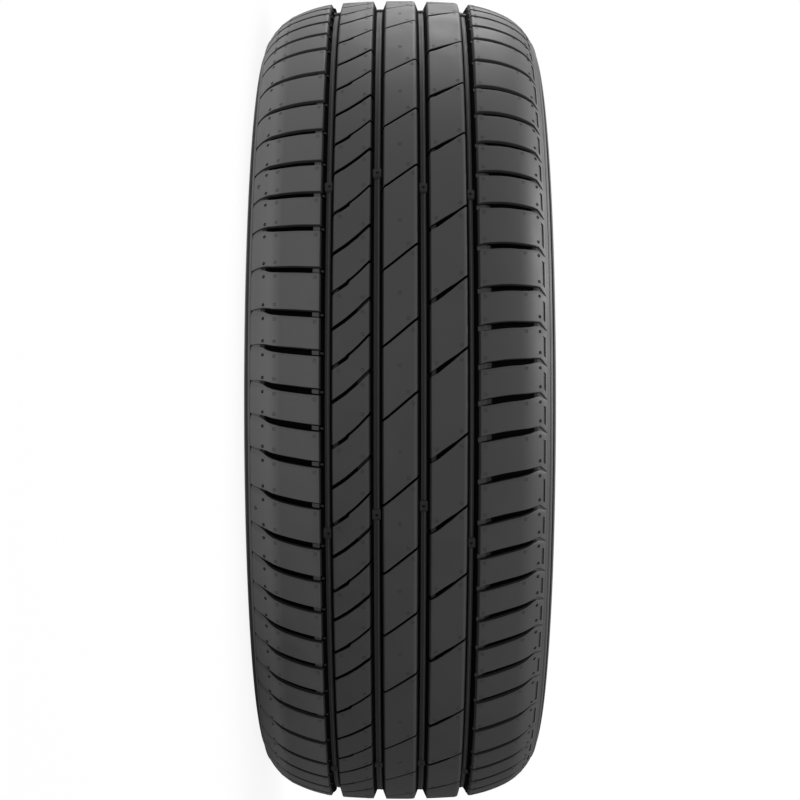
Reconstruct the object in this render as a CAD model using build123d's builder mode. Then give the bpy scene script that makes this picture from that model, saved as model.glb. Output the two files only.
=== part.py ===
"""A car tyre of size 205/55 R16, moulded as one piece and lying on its side.

Millimetres. The axle is the Z axis and the origin is the centre of the wheel. The section is
swept round a many-sided ring, so the tread, the sidewalls and the hollow inside are flat faces.
The tread has four grooves round it and slots across it, in units of five lengths that follow one
another in a mixed order, and the two bead seats are true cylinders.
"""

import os
from math import asin, cos, degrees, radians, sin, tan

from build123d import *

# Overall size
overall_diameter = 632.0
section_width = 211.0
bead_seat_diameter = 405.6
bead_spacing = 165.1

# Outer section, from the crown down to the bead
crown_radius = 620.0
crown_half_width = 44.8
shoulder_radius = 100.0
corner_radius = 43.7
flange_height = 21.0
flange_flare = 14.0
bead_face_height = 9.0

# Rib that guards the rim: its height, and how far its crest and its foot are from the flange
guard_height = 2.2
guard_crest_distance = 5.5
guard_foot_distance = 11.5

# Wall of the hollow inside. Over the bead it thickens from the filler's top, which is set by its
# height above the flange and its distance in from it.
crown_thickness = 17.5
sidewall_thickness = 7.5
filler_height = 7.8
filler_inset = 8.1
bead_base_width = 20.0
toe_height = 5.0

# Flat sides round the ring, and straight chords to each arc of the section
ring_side_count = 60
shoulder_chord_count = 2
corner_chord_count = 4
sidewall_chord_count = 2
inner_chord_count = 2

# Grooves round the tread, from the lower shoulder to the upper one
groove_heights = (-48.3, -15.2, 16.4, 48.8)
groove_width = 9.2
groove_depth = 7.0
groove_draft = 16.0

# Tread units: lengths round the crown, and their order, clockwise from above, from the first one's
# angle. Each shoulder and the second rib have two slots to a unit, and the other two ribs have one.
unit_lengths = {"A": 48.2, "B": 51.6, "C": 56.6, "D": 61.0, "E": 67.6}
unit_order = "CCEBAACABDBCEBACBAECDABCAEBCADBCCABD"
first_unit_angle = -12.0

# Slots across the ribs: lead round the crown from the unit's start, slant and width
rib_slot_depth = 6.0
second_rib_lead = 36.6
second_rib_slant = 42.2
second_rib_slot_width = 2.0
middle_rib_lead = 26.4
middle_rib_slant = 40.4
middle_rib_slot_width = 1.5
fourth_rib_lead = 56.5
fourth_rib_slant = 37.9
fourth_rib_slot_width = 2.4

# Slots across the shoulders: depth and width at the groove, and the share of the corner arc they
# reach. They are deepest half-way, where they stay clear of the hollow inside.
shoulder_slot_depth = 4.9
shoulder_slot_width = 2.2
shoulder_slot_reach = 0.42
lower_shoulder_lead = 0.3
lower_shoulder_slant = 7.5
upper_shoulder_lead = 17.2
upper_shoulder_slant = 7.6

# How far a cut runs past the surface
overrun = 4.0

tread_radius = overall_diameter / 2
half_width = section_width / 2
bead_seat_radius = bead_seat_diameter / 2
half_bead = bead_spacing / 2


def chords(arc, count):
    """Ends of the equal straight chords of an arc, without its start."""
    return [arc @ (step / count) for step in range(1, count + 1)]


# Upper half of the section: radius across, height up
with BuildLine() as half_section:
    crown_turn = degrees(asin(crown_half_width / crown_radius))
    crown = JernArc((tread_radius, 0), (0, 1), crown_radius, crown_turn, mode=Mode.PRIVATE)

    # The corner arc ends upright at the widest place, which sets where the shoulder arc stops
    shoulder_centre = (crown_radius - shoulder_radius) * sin(radians(crown_turn))
    corner_centre = half_width - corner_radius
    shoulder_end = degrees(asin((corner_centre - shoulder_centre) / (shoulder_radius - corner_radius)))
    shoulder = JernArc(
        crown @ 1, crown % 1, shoulder_radius, shoulder_end - crown_turn, mode=Mode.PRIVATE
    )
    corner = JernArc(
        shoulder @ 1, shoulder % 1, corner_radius, 90 - shoulder_end, mode=Mode.PRIVATE
    )
    flange = (bead_seat_radius + flange_height, half_bead + flange_flare)
    sidewall = TangentArc(corner @ 1, flange, tangent=corner % 1, mode=Mode.PRIVATE)

    # The guard rib stands on the last stretch of the sidewall
    guard_foot = 1 - guard_foot_distance / sidewall.length
    guard_crest = 1 - guard_crest_distance / sidewall.length
    crest_outward = (sidewall % guard_crest).rotate(Axis.Z, -90)
    bare_sidewall = sidewall.trim(0, guard_foot)

    inner_radius = tread_radius - crown_thickness
    inner_half_width = half_width - sidewall_thickness
    inner_corner_radius = inner_radius - (corner @ 1).X
    inner_corner = JernArc(
        (inner_radius, inner_half_width - inner_corner_radius),
        (0, 1),
        inner_corner_radius,
        90,
        mode=Mode.PRIVATE,
    )
    filler = (flange[0] + filler_height, flange[1] - filler_inset)
    toe = (bead_seat_radius + toe_height, half_bead - bead_base_width)

    outside = [
        (tread_radius, 0),
        (tread_radius, min(abs(height) for height in groove_heights)),
        crown @ 1,
        *chords(shoulder, shoulder_chord_count),
        *chords(corner, corner_chord_count),
        *chords(bare_sidewall, sidewall_chord_count),
        (sidewall @ guard_crest) + crest_outward * guard_height,
        flange,
        (bead_seat_radius + bead_face_height, half_bead),
        (bead_seat_radius - overrun, half_bead),
    ]
    inside = [
        (inner_radius, 0),
        inner_corner @ 0,
        *chords(inner_corner, inner_chord_count),
        filler,
        toe,
        (bead_seat_radius - overrun, half_bead - bead_base_width),
    ]
    Polyline(*outside, *reversed(inside), close=True)

# Angles at which the units start, and the same with the middle of each unit between
degrees_per_mm = 360 / sum(unit_lengths[letter] for letter in unit_order)
unit_angles = []
half_unit_angles = []
angle = first_unit_angle
for letter in unit_order:
    turn = unit_lengths[letter] * degrees_per_mm
    unit_angles.append(angle)
    half_unit_angles += [angle, angle - turn / 2]
    angle -= turn


def slot_tool(start, finish, depth, width):
    """A wedge that cuts one slot at the angle zero.

    Its sharp edge is the slot's floor, from start to finish, and its sides are the width apart
    at the depth above that edge.
    """
    along = (finish - start).normalized()
    outward = (Vector(1, 0, 0) - along * along.X).normalized()
    reach = depth + overrun
    half_reach = width / 2 * reach / depth
    with BuildPart() as tool:
        with BuildSketch(Plane(start, x_dir=outward, z_dir=along)):
            with BuildLine():
                Polyline((0, 0), (reach, half_reach), (reach, -half_reach), close=True)
            make_face()
        extrude(amount=(finish - start).length)
    return tool.part


def rib_slot(groove, next_groove, slant, width):
    """A slot from the middle of one groove up to the next one's, swept back by its slant."""
    floor = tread_radius - rib_slot_depth
    sweep_back = (next_groove - groove) * tan(radians(slant))
    start = Vector(floor, 0, groove)
    return slot_tool(start, Vector(floor, -sweep_back, next_groove), rib_slot_depth, width)


def shoulder_slot(groove, slant):
    """A slot from an outer groove, swept back by its slant, that runs out on the round corner."""
    runout = corner @ shoulder_slot_reach
    end_height = runout.Y if groove > 0 else -runout.Y
    sweep_back = abs(end_height - groove) * tan(radians(slant))
    start = Vector(tread_radius - shoulder_slot_depth, 0, groove)
    end = Vector(runout.X, -sweep_back, end_height)
    finish = end + (end - start).normalized() * overrun
    return slot_tool(start, finish, shoulder_slot_depth, shoulder_slot_width)


lower_groove, second_groove, third_groove, upper_groove = groove_heights
slot_rows = [
    (
        shoulder_slot(lower_groove, lower_shoulder_slant),
        lower_shoulder_lead,
        half_unit_angles,
    ),
    (
        rib_slot(lower_groove, second_groove, second_rib_slant, second_rib_slot_width),
        second_rib_lead,
        half_unit_angles,
    ),
    (
        rib_slot(second_groove, third_groove, middle_rib_slant, middle_rib_slot_width),
        middle_rib_lead,
        unit_angles,
    ),
    (
        rib_slot(third_groove, upper_groove, fourth_rib_slant, fourth_rib_slot_width),
        fourth_rib_lead,
        unit_angles,
    ),
    (
        shoulder_slot(upper_groove, upper_shoulder_slant),
        upper_shoulder_lead,
        half_unit_angles,
    ),
]
with BuildPart() as slots:
    for tool, lead, angles in slot_rows:
        starts = [angle - lead * degrees_per_mm for angle in angles]
        with Locations(*[Location((0, 0, 0), (0, 0, start)) for start in starts]):
            add(tool)

with BuildPart() as tyre:
    # The path touches the crown at the middle of each side, and starts at the middle of one
    side_turn = radians(360 / ring_side_count)
    path_corner_radius = tread_radius / cos(side_turn / 2)
    with BuildLine() as ring_path:
        path_corners = [
            (path_corner_radius * cos(turn), path_corner_radius * sin(turn))
            for turn in [side_turn * (side + 0.5) for side in range(ring_side_count)]
        ]
        Polyline((tread_radius, 0), *path_corners, close=True)
    with BuildSketch(Plane.XZ):
        with BuildLine():
            add(half_section.line)
        make_face()
        mirror(about=Plane.XZ)
        floor_half_width = groove_width / 2 - groove_depth * tan(radians(groove_draft))
        mouth_half_width = groove_width / 2 + overrun * tan(radians(groove_draft))
        for height in groove_heights:
            with BuildLine():
                Polyline(
                    (tread_radius + overrun, height - mouth_half_width),
                    (tread_radius - groove_depth, height - floor_half_width),
                    (tread_radius - groove_depth, height + floor_half_width),
                    (tread_radius + overrun, height + mouth_half_width),
                    close=True,
                )
            make_face(mode=Mode.SUBTRACT)
    sweep(path=ring_path.wire(), transition=Transition.RIGHT)
    Cylinder(bead_seat_radius, section_width, mode=Mode.SUBTRACT)
    add(slots.part, mode=Mode.SUBTRACT)

os.makedirs("parts", exist_ok=True)
tyre.part.label = "tyre"
export_step(tyre.part, "parts/tyre.step")
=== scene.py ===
"""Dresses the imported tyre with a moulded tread, sidewalls, beads, vents and rubber finishes.

The tread is laid out flat, in millimetres: across the tyre along the section's outer line, round the
tyre at the crown, and up from the surface. Geometry Nodes set the blocks out in the mixed order of the
tread's units and roll them round the axle, which is the Z axis of the frame.
"""

import logging
import math
from dataclasses import dataclass, field, replace
from enum import Enum
from typing import Optional, Sequence

import bmesh
import bpy
import numpy as np
from mathutils import Matrix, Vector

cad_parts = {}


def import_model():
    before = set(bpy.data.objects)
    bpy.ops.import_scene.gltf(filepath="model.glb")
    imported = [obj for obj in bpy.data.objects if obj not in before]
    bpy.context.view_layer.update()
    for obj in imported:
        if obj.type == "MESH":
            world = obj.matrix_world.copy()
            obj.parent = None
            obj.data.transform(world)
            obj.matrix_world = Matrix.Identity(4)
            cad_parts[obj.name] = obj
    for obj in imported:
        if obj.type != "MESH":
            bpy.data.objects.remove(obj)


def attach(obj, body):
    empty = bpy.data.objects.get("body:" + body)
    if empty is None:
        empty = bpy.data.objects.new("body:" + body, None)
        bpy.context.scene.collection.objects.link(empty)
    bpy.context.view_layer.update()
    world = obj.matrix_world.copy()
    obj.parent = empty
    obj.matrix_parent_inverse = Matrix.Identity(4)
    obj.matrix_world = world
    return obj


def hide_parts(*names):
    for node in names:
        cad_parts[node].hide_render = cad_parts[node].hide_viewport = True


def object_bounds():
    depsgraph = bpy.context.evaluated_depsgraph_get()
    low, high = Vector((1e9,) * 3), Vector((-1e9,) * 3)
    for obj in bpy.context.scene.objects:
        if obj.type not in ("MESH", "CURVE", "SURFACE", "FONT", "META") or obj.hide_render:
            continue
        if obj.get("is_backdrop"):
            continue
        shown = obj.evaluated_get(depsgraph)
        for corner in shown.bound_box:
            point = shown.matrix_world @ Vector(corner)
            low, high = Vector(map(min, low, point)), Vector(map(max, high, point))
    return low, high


LOG = logging.getLogger("tyre")
MM = 0.001

# Angle at which lengths round the tread start, the radius that they are measured at, and a full turn
FRONT = -math.pi / 2
CROWN = 316.0
TURN = 2 * math.pi * CROWN

Pair = tuple[float, float]
Triple = tuple[float, float, float]
Ring = tuple[float, float, float, float]


class Skin(Enum):
    """What a face of the tyre is finished with. A lighter finish is a painted highlight, and two darker
    ones are painted shade.
    """

    TREAD = "tread_rubber"
    EDGE = "edge_rubber"
    FLOOR = "floor_rubber"
    LINE = "line_rubber"
    PAINTED_DEEP_SHADE = "groove_rubber"
    WALL = "wall_rubber"


# Skins that a flat piece gives to some of its faces, and the attributes that only the rolling needs
LINED = (Skin.EDGE, Skin.FLOOR, Skin.LINE, Skin.PAINTED_DEEP_SHADE)
SCRATCH = ("along", "extra", "turn", *(skin.value for skin in LINED))


@dataclass(frozen=True)
class Section:
    """Outer line of the section: crown, shoulder, corner and sidewall arcs, tangent to each other.

    Its crown is a little under the solid's, so that the vents stay inside the solid's box.
    """

    tread_radius: float = 315.85
    half_width: float = 105.5
    crown_radius: float = 620.0
    crown_half_width: float = 44.8
    shoulder_radius: float = 100.0
    corner_radius: float = 43.7
    flange_place: float = 96.55
    flange_radius: float = 223.8
    line_spacing: float = 0.5

    @property
    def crown_turn(self) -> float:
        """Lean of the section where the crown meets the shoulder, in radians."""
        return math.asin(self.crown_half_width / self.crown_radius)

    @property
    def shoulder_centre(self) -> Pair:
        """Place and radius of the shoulder arc's centre.

        Returns:
            Distance across the tyre and distance from the axle.
        """
        step = self.crown_radius - self.shoulder_radius
        crown_centre = self.tread_radius - self.crown_radius
        return step * math.sin(self.crown_turn), crown_centre + step * math.cos(self.crown_turn)

    @property
    def shoulder_turn(self) -> float:
        """Lean of the section where the shoulder meets the corner, in radians."""
        gap = self.half_width - self.corner_radius - self.shoulder_centre[0]
        return math.asin(gap / (self.shoulder_radius - self.corner_radius))

    @property
    def corner_centre(self) -> Pair:
        """Place and radius of the corner arc's centre."""
        rise = (self.shoulder_radius - self.corner_radius) * math.cos(self.shoulder_turn)
        return self.half_width - self.corner_radius, self.shoulder_centre[1] + rise

    @property
    def sidewall_radius(self) -> float:
        """Radius of the sidewall arc, from the widest place to the flange.

        Returns:
            The radius.
        """
        run = self.half_width - self.flange_place
        drop = self.corner_centre[1] - self.flange_radius
        return (run * run + drop * drop) / (2 * run)

    @property
    def joins(self) -> tuple[float, float, float, float]:
        """Lengths along the line at the end of each arc.

        Returns:
            The ends of the crown, shoulder, corner and sidewall arcs.
        """
        first = self.crown_radius * self.crown_turn
        second = first + self.shoulder_radius * (self.shoulder_turn - self.crown_turn)
        third = second + self.corner_radius * (math.pi / 2 - self.shoulder_turn)
        drop = self.corner_centre[1] - self.flange_radius
        fourth = third + self.sidewall_radius * math.asin(drop / self.sidewall_radius)
        return first, second, third, fourth

    @property
    def widest(self) -> float:
        """Length along the line at the widest place."""
        return self.joins[2]

    def reach(self, place: float) -> float:
        """Length along the line at a place on the tread.

        Args:
            place: distance across the tyre from its middle, with a sign.

        Returns:
            The length from the middle of the crown, with the same sign.
        """
        first, second, _, _ = self.joins
        across = abs(place)
        if across <= self.crown_half_width:
            length = self.crown_radius * math.asin(across / self.crown_radius)
        else:
            lean = math.asin((across - self.shoulder_centre[0]) / self.shoulder_radius)
            length = first + self.shoulder_radius * (lean - self.crown_turn)
            if lean > self.shoulder_turn:
                lean = math.asin((across - self.corner_centre[0]) / self.corner_radius)
                length = second + self.corner_radius * (lean - self.shoulder_turn)
        return math.copysign(length, place)

    def point(self, length: float, height: float = 0.0) -> Pair:
        """Place and radius of a point on or over the line.

        Args:
            length: distance along the line from the middle of the crown, with a sign.
            height: distance out from the surface.

        Returns:
            Distance across the tyre, with a sign, and distance from the axle.
        """
        first, second, third, _ = self.joins
        along = abs(length)
        if along <= first:
            lean = along / self.crown_radius
            centre, radius = (0.0, self.tread_radius - self.crown_radius), self.crown_radius
        elif along <= second:
            lean = self.crown_turn + (along - first) / self.shoulder_radius
            centre, radius = self.shoulder_centre, self.shoulder_radius
        elif along <= third:
            lean = self.shoulder_turn + (along - second) / self.corner_radius
            centre, radius = self.corner_centre, self.corner_radius
        else:
            radius = self.sidewall_radius
            lean = math.pi / 2 + (along - third) / radius
            centre = (self.half_width - radius, self.corner_centre[1])
        place = centre[0] + (radius + height) * math.sin(lean)
        return math.copysign(place, length), centre[1] + (radius + height) * math.cos(lean)

    def line(self) -> list[Pair]:
        """Place and radius of evenly spaced points from the middle of the crown to the flange."""
        end = self.joins[-1]
        return [self.point(length) for length in np.linspace(0, end, int(end / self.line_spacing) + 1)]


@dataclass(frozen=True)
class Units:
    """The tread's units: five lengths in a mixed order, from a first place in front."""

    lengths: dict[str, float] = field(
        default_factory=lambda: {"A": 48.2, "B": 51.6, "C": 56.6, "D": 61.0, "E": 67.6}
    )
    order: str = "CCEBAACABDBCEBACBAECDABCAEBCADBCCABD"
    first: float = -430.4

    def spans(self) -> list[Pair]:
        """Scales the units so that they close round the tyre.

        Returns:
            Start and length of each unit.
        """
        scale = TURN / sum(self.lengths[letter] for letter in self.order)
        found = []
        start = self.first
        for letter in self.order:
            found.append((start, self.lengths[letter] * scale))
            start += self.lengths[letter] * scale
        return found

    def halves(self) -> list[Pair]:
        """Cuts the units in two.

        Returns:
            Start and length of each half of a unit.
        """
        return [
            (start + half * length / 2, length / 2) for start, length in self.spans() for half in (0, 1)
        ]


@dataclass(frozen=True)
class Slot:
    """A slot across a rib, by stations of place, lead round the tread, and width.

    Its slope is measured over a short step to each side.
    """

    stations: tuple[Triple, ...]
    step: float = 0.01

    def lead(self, place: float) -> float:
        """Lead of the slot's middle, along the end slope past the last station.

        Args:
            place: distance across the tyre.

        Returns:
            The lead round the tread.
        """
        places, leads, _ = zip(*self.stations)
        for end, outside in ((0, place < places[0]), (-1, place > places[-1])):
            if outside:
                return leads[end] + (place - places[end]) * self.slope(places[end])
        return float(np.interp(place, places, leads))

    def slope(self, place: float) -> float:
        """Slope of the slot's middle.

        Args:
            place: distance across the tyre.

        Returns:
            Its rise for each millimetre across.
        """
        places, leads, _ = zip(*self.stations)
        inside = min(max(place, places[0] + self.step), places[-1] - self.step)
        before, after = np.interp((inside - self.step, inside + self.step), places, leads)
        return float(after - before) / (2 * self.step)

    def stretch(self, place: float) -> float:
        """Length round the tread that one millimetre square to the slot takes."""
        return math.hypot(1.0, self.slope(place))

    def half_gap(self, place: float) -> float:
        """Half the slot's width, measured round the tread."""
        places, _, widths = zip(*self.stations)
        return float(np.interp(place, places, widths)) / 2 * self.stretch(place)


@dataclass(frozen=True)
class Brow:
    """How the side of a block goes down: a rounded or bevelled brow, then a wall that spreads.

    The brow bends at shares of its run and its drop.
    """

    run: float
    drop: float
    depth: float
    spread: float
    middle: float = 2.4
    bend: Pair = (0.35, 0.32)

    def levels(self) -> list[Pair]:
        """Steps of the side, from the top down.

        Returns:
            Distance out from the edge, and depth, of each step.
        """
        middle = max(self.middle, self.drop + 0.2)
        return [
            (-self.run, 0.0),
            (-self.bend[0] * self.run, self.bend[1] * self.drop),
            (self.spread * self.drop / self.depth, self.drop),
            (self.spread * middle / self.depth, middle),
            (self.spread, self.depth),
        ]


@dataclass(frozen=True)
class Bar:
    """A bar in the bottom of a slot that ties two blocks together.

    It fills the slot and overlaps its walls, or with a width it is a ridge along the middle of the
    slot, with a foot to each side. Its near end goes down at once, and its far end over the length of
    its fade. Its own walls start a little below its top.
    """

    start: float
    finish: float
    depth: float
    width: Optional[float] = None
    fade: float = 0.5
    skin: Skin = Skin.FLOOR
    near_fade: float = 0.5
    rounding: Pair = (0.4, 0.5)
    fade_drop: float = 1.4
    overlap: float = 0.5
    foot: float = 0.8
    wall_start: float = 0.6

    def profile(self, deep: float) -> list[Pair]:
        """Stations of the bar, from its near end.

        Args:
            deep: depth of the slot.

        Returns:
            Place and depth of each station.
        """
        run, drop = self.rounding
        return [
            (self.start - self.near_fade, deep),
            (self.start, self.depth + drop),
            (self.start + run, self.depth),
            ((self.start + self.finish) / 2, self.depth),
            (self.finish - run, self.depth),
            (self.finish, self.depth + drop),
            (self.finish + 0.5 * self.fade, self.depth + self.fade_drop),
            (self.finish + self.fade, deep),
        ]


@dataclass(frozen=True)
class Slit:
    """A shallow slit round the tread in a block's top, with the gaps between its ends and the slots.

    Its walls take a short run across and round the tread, and its slack, in the same two directions,
    tells the points of its bottom from those of its edges.
    """

    place: float
    width: float
    first: float
    last: float
    depth: float
    wall: Pair = (0.15, 0.3)
    slack: Pair = (0.01, 0.2)


def ring_faces(turns: int, count: int, first: int = 0) -> list[tuple[int, ...]]:
    """Faces of a closed section that is set out round an axis.

    Args:
        turns: number of times that the section is set out.
        count: number of its points.
        first: number of the first vertex.

    Returns:
        Vertices of each face, by turns and then along the section.
    """
    faces = []
    for turn in range(turns):
        here, after = first + turn * count, first + (turn + 1) % turns * count
        for step in range(count):
            ahead = (step + 1) % count
            faces.append((here + step, after + step, after + ahead, here + ahead))
    return faces


@dataclass
class FlatMesh:
    """Vertices, faces, share of the stretch and skins of a flat piece, in millimetres.

    A wall is painted in shade: its finish changes from the lighter painted shade to the deeper one at some
    distance below the wall's start.
    """

    points: list[Triple] = field(default_factory=list)
    faces: list[tuple[int, ...]] = field(default_factory=list)
    along: list[float] = field(default_factory=list)
    skins: list[Skin] = field(default_factory=list)
    dark: float = 1.6

    def add_sheet(
        self,
        grid: list[list[tuple[float, float, float, float]]],
        deep: float = 0.9,
        top: Skin = Skin.TREAD,
        edge_rows: Sequence[int] = (),
        highlight_columns: Sequence[int] = (),
    ) -> None:
        """Adds a sheet with a closed bottom, which follows the columns.

        Args:
            grid: columns from left to right, each a list of (across, round, up, along).
            deep: depth from which a face counts as a wall.
            top: finish of the other faces.
            edge_rows: numbers of the rows after which the finish is that of an edge.
            highlight_columns: numbers of the columns after which the finish is the lighter one of a painted
                highlight.
        """
        first = len(self.points)
        wide, high = len(grid), len(grid[0])
        for column in grid:
            self.points += [point[:3] for point in column]
            self.along += [point[3] for point in column]

        def at(i: int, j: int) -> int:
            """Number of the vertex in a column and a row."""
            return first + i * high + j

        for i in range(wide - 1):
            for j in range(high - 1):
                face = (at(i, j), at(i + 1, j), at(i + 1, j + 1), at(i, j + 1))
                self.faces.append(face)
                depth = -min(self.points[number][2] for number in face)
                # Brows take the tread's finish, an edge's, or the lighter one of a painted highlight
                brow = Skin.EDGE if j in edge_rows else Skin.LINE if i in highlight_columns else top
                # Walls take the finishes of painted shade, the deeper one further down
                wall = Skin.PAINTED_DEEP_SHADE if depth > deep + self.dark else Skin.FLOOR
                self.skins.append(wall if depth > deep else brow)
        bottom = [(at(i, 0), at(i, high - 1), at(i + 1, high - 1), at(i + 1, 0)) for i in range(wide - 1)]
        bottom.append(tuple(at(0, j) for j in range(high)))
        bottom.append(tuple(at(wide - 1, j) for j in range(high - 1, -1, -1)))
        self.faces += bottom
        self.skins += [Skin.PAINTED_DEEP_SHADE] * len(bottom)

    def add_ring(
        self, radii: Sequence[float], heights: Sequence[float], top: Skin, sides: int = 10
    ) -> None:
        """Adds a closed ring round the origin.

        Args:
            radii: radius of each of the ring's four edges, from the outer foot over its top.
            heights: height of each edge.
            top: finish of the ring's top.
            sides: number of sides.
        """
        count = len(radii)
        self.faces += ring_faces(sides, count, len(self.points))
        self.skins += [top if edge == 1 else Skin.TREAD for edge in range(count)] * sides
        self.along += [0.0] * (count * sides)
        for side in range(sides):
            turn = 2 * math.pi * side / sides
            self.points += [
                (radius * math.cos(turn), radius * math.sin(turn), height)
                for radius, height in zip(radii, heights)
            ]

    def to_object(self, name: str) -> bpy.types.Object:
        """Makes an object of this mesh, in metres, with the stretch and the finishes as attributes.

        Args:
            name: name of the object and of its mesh.

        Returns:
            The object.
        """
        mesh = bpy.data.meshes.new(name)
        mesh.from_pydata([tuple(MM * value for value in point) for point in self.points], [], self.faces)
        mesh.attributes.new("along", "FLOAT", "POINT").data.foreach_set("value", self.along)
        for skin in LINED:
            chosen = [item is skin for item in self.skins]
            mesh.attributes.new(skin.value, "BOOLEAN", "FACE").data.foreach_set("value", chosen)
        thing = bpy.data.objects.new(name, mesh)
        bpy.context.scene.collection.objects.link(thing)
        return thing


@dataclass(frozen=True)
class Block:
    """One block of the tread between two slots, laid out for a given length of unit.

    Its ramp gives places across it, and the run and drop that its far brow has there. Beside each
    brow is a flat strip, which no slot's station and no slit comes into. A right brow with a long run
    is a bevel.
    """

    left: float
    right: float
    start: Slot
    finish: Slot
    length: float
    left_brow: Brow
    right_brow: Brow
    start_brow: Brow
    finish_brow: Brow
    bars: tuple[Bar, ...] = ()
    slit: Optional[Slit] = None
    ramp: tuple[Triple, ...] = ()
    pitch: float = 3.6
    strip: float = 0.6
    station_gap: float = 0.3
    slit_gap: float = 0.7
    bevel_run: float = 1.0

    def columns(self, section: Section) -> list[Triple]:
        """Columns of the block's sheet.

        Args:
            section: outer line of the tyre.

        Returns:
            Place, length along the section and depth of each column.
        """
        low, high = self.left + self.left_brow.run, self.right - self.right_brow.run
        stops = {low, low + self.strip, high - self.strip, high}
        for slot in (self.start, self.finish):
            inside = (low + self.station_gap, high - self.station_gap)
            stops |= {place for place, _, _ in slot.stations if inside[0] < place < inside[1]}
        if self.slit:
            half = self.slit.width / 2
            lips = (0.0, self.slit.wall[0])
            stops |= {self.slit.place + side * (half + lip) for side in (-1, 1) for lip in lips}
        ordered = sorted(stops)
        filled = [ordered[0]]
        for stop in ordered[1:]:
            before = filled[-1]
            parts = max(1, math.ceil((stop - before) / self.pitch))
            filled += [before + (stop - before) * part / parts for part in range(1, parts + 1)]
        columns = [(place, section.reach(place), 0.0) for place in filled]
        for brow, edge, sign in ((self.left_brow, self.left, -1), (self.right_brow, self.right, 1)):
            levels = [
                (edge + sign * out, section.reach(edge) + sign * out, depth)
                for out, depth in brow.levels()[1:]
            ]
            columns = levels[::-1] + columns if sign < 0 else columns + levels
        return columns

    def far_brow(self, place: float) -> Brow:
        """Side of the block along its upper slot, where a ramp can widen it.

        Args:
            place: distance across the tyre.

        Returns:
            The side at that place.
        """
        if not self.ramp:
            return self.finish_brow
        places, runs, drops = zip(*self.ramp)
        run, drop = float(np.interp(place, places, runs)), float(np.interp(place, places, drops))
        return replace(self.finish_brow, run=run, drop=drop)

    def rows(self, place: float) -> list[Triple]:
        """Rows of the block's sheet at a place.

        Args:
            place: distance across the tyre.

        Returns:
            Share of the block, distance in from its nearer slot, and depth, of each row. A row part
            of the way has, for its depth, the distance in from the further slot.
        """
        gaps = (self.slit.first, self.slit.last) if self.slit else (None, None)
        ends = []
        for brow, gap in zip((self.start_brow, self.far_brow(place)), gaps):
            rows = [(-out, depth) for out, depth in brow.levels()[::-1]] + [(brow.run + self.strip, 0.0)]
            if gap is not None:
                lip = max(gap, brow.run + self.slit_gap)
                rows += [(lip, 0.0), (lip + self.slit.wall[1], 0.0)]
            ends.append(rows)
        near, far = ends[0], ends[1][::-1]
        count = max(3, round(self.length / self.pitch) - 2)
        rows = [(0.0, inset, depth) for inset, depth in near]
        rows += [(part / count, near[-1][0], far[0][0]) for part in range(1, count)]
        return rows + [(1.0, inset, depth) for inset, depth in far]

    def sink(self, place: float, share: float, inset: float) -> float:
        """Depth of the slit, where the block has one.

        Args:
            place: distance across the tyre.
            share: share of the block from its lower slot.
            inset: distance in from the nearer slot.

        Returns:
            The depth at that place.
        """
        if not self.slit:
            return 0.0
        end = self.slit.first if share == 0.0 else self.slit.last
        across, along = self.slit.slack
        inside = abs(place - self.slit.place) < self.slit.width / 2 + across
        return self.slit.depth if inside and (0.0 < share < 1.0 or inset > end + along) else 0.0

    def build(self, section: Section) -> FlatMesh:
        """Lays out the block and the bars of its lower slot.

        Args:
            section: outer line of the tyre.

        Returns:
            The flat mesh.
        """
        flat = FlatMesh()
        grid = []
        for place, across, depth in self.columns(section):
            low = self.start.lead(place) + self.start.half_gap(place)
            high = self.length + self.finish.lead(place) - self.finish.half_gap(place)
            square = self.start.stretch(place)
            column = []
            for share, inset, fall in self.rows(place):
                if share == 0.0:
                    round_ = low + inset * square
                elif share == 1.0:
                    round_ = high - inset * square
                else:
                    round_ = low + inset * square + (high - low - (inset + fall) * square) * share
                    fall = 0.0
                sunk = max(depth, fall, self.sink(place, share, inset))
                column.append((across, round_, -sunk, share))
            grid.append(column)
        # The last rows go down the far brow and the last columns the right one, the brow's bend first
        levels = len(self.right_brow.levels())
        row, column = len(grid[0]) - levels, len(grid) - levels
        # A bevel's columns take the lighter finish of a painted highlight
        bevel = (column, column + 1) if self.right_brow.run > self.bevel_run else ()
        flat.add_sheet(grid, edge_rows=(row, row + 1), highlight_columns=bevel)
        for bar in self.bars:
            self.add_bar(flat, section, bar)
        return flat

    def add_bar(self, flat: FlatMesh, section: Section, bar: Bar) -> None:
        """Adds a bar in the block's lower slot.

        Args:
            flat: mesh to add to.
            section: outer line of the tyre.
            bar: the bar's ends, depth and width.
        """
        deep = self.start_brow.depth
        grid = []
        for place, depth in bar.profile(deep):
            middle, across = self.start.lead(place), section.reach(place)
            top = bar.width / 2 if bar.width else self.start.half_gap(place) + bar.overlap
            foot = top + bar.foot if bar.width else top
            sides = ((-foot, deep), (-top, depth), (top, depth), (foot, deep))
            grid.append([(across, middle + out, -down, 0.0) for out, down in sides])
        flat.add_sheet(grid, bar.depth + bar.wall_start, bar.skin)


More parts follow.
